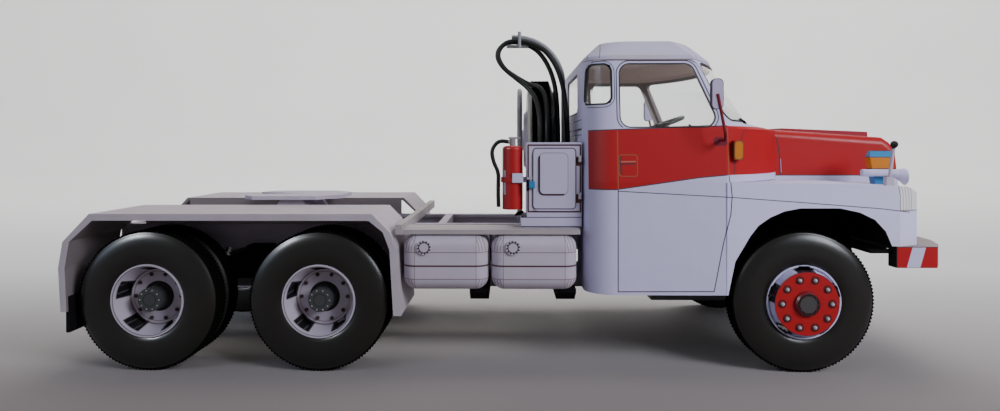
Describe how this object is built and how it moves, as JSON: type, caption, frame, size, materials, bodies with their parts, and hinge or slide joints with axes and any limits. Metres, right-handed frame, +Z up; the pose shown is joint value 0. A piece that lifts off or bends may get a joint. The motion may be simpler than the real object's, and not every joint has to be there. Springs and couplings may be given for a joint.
{
  "type": "card model of a three-axle tractor unit",
  "caption": "Hand-built card scale model of a bonneted three-axle tractor unit with spare wheel, side tanks, tool box, rear mudguards and fifth wheel; the wheels turn.",
  "frame": {"origin": "on the ground under the middle of the box round the model", "axes": "+X points forward, +Y to the model's left, +Z up"},
  "size_m": [0.2144, 0.0826, 0.0851],
  "materials": {
    "black_card": "matte",
    "film": "gloss",
    "grey_card": "matte",
    "grey_wire": "satin",
    "hose": "gloss",
    "lamp_card": "gloss",
    "red_card": "satin",
    "seat_card": "matte",
    "tank_card": "satin",
    "tyre_card": "satin",
    "wheel_grey": "matte",
    "wheel_red": "satin",
    "white_card": "matte"
  },
  "bodies": {
    "chassis": {"air_hose_inner": "hose", "air_hose_outer": "hose", "arch_liners": "black_card", "backbone_tube": "grey_card", "bonnet": "white_card", "bumper": "white_card", "cab_back": "white_card", "cab_floor": "grey_card", "cab_glass": "film", "cab_roof": "white_card", "cab_seats": "seat_card", "cab_side_left": "white_card", "cab_side_right": "white_card", "cowl": "white_card", "dashboard": "black_card", "extinguisher": "red_card", "extinguisher_valve": "black_card", "fifth_wheel_base": "red_card", "fifth_wheel_plate": "white_card", "frame_cross_members": "red_card", "frame_rails": "white_card", "front_axle": "grey_card", "front_knuckles": "grey_card", "grille": "white_card", "hose_post": "black_card", "lamp_horns": "white_card", "lamps": "lamp_card", "marker_rods": "white_card", "middle_axle": "grey_card", "mirrors": "black_card", "mud_flaps": "black_card", "rear_axle": "grey_card", "rear_mudguard_left": "white_card", "rear_mudguard_right": "white_card", "rear_springs": "black_card", "spare_carrier": "grey_wire", "spare_rim": "white_card", "spare_tyre": "tyre_card", "steering_wheel": "black_card", "tank_brackets": "black_card", "tank_rails": "tank_card", "tanks_left": "tank_card", "tanks_right": "tank_card", "toolbox": "white_card", "windscreen": "film", "wing_left": "white_card", "wing_right": "white_card"},
    "wheel_front_left": {"wheel_front_left_rim": "wheel_red", "wheel_front_left_tyre": "tyre_card"},
    "wheel_front_right": {"wheel_front_right_rim": "wheel_red", "wheel_front_right_tyre": "tyre_card"},
    "wheel_middle_left": {"wheel_middle_left_rim": "wheel_grey", "wheel_middle_left_tyres": "tyre_card"},
    "wheel_middle_right": {"wheel_middle_right_rim": "wheel_grey", "wheel_middle_right_tyres": "tyre_card"},
    "wheel_rear_left": {"wheel_rear_left_rim": "wheel_grey", "wheel_rear_left_tyres": "tyre_card"},
    "wheel_rear_right": {"wheel_rear_right_rim": "wheel_grey", "wheel_rear_right_tyres": "tyre_card"}
  },
  "joints": [
    {"name": "wheel_front_left_spin", "type": "hinge", "parent": "chassis", "child": "wheel_front_left", "pos_m": [0.06975, 0.0333, 0.01694], "axis": [0, 1, 0], "continuous": true},
    {"name": "wheel_front_right_spin", "type": "hinge", "parent": "chassis", "child": "wheel_front_right", "pos_m": [0.06975, -0.0333, 0.01694], "axis": [0, 1, 0], "continuous": true},
    {"name": "wheel_middle_left_spin", "type": "hinge", "parent": "chassis", "child": "wheel_middle_left", "pos_m": [-0.04555, 0.0299, 0.01694], "axis": [0, 1, 0], "continuous": true},
    {"name": "wheel_middle_right_spin", "type": "hinge", "parent": "chassis", "child": "wheel_middle_right", "pos_m": [-0.04555, -0.0299, 0.01694], "axis": [0, 1, 0], "continuous": true},
    {"name": "wheel_rear_left_spin", "type": "hinge", "parent": "chassis", "child": "wheel_rear_left", "pos_m": [-0.08685, 0.0299, 0.01694], "axis": [0, 1, 0], "continuous": true},
    {"name": "wheel_rear_right_spin", "type": "hinge", "parent": "chassis", "child": "wheel_rear_right", "pos_m": [-0.08685, -0.0299, 0.01694], "axis": [0, 1, 0], "continuous": true}
  ]
}
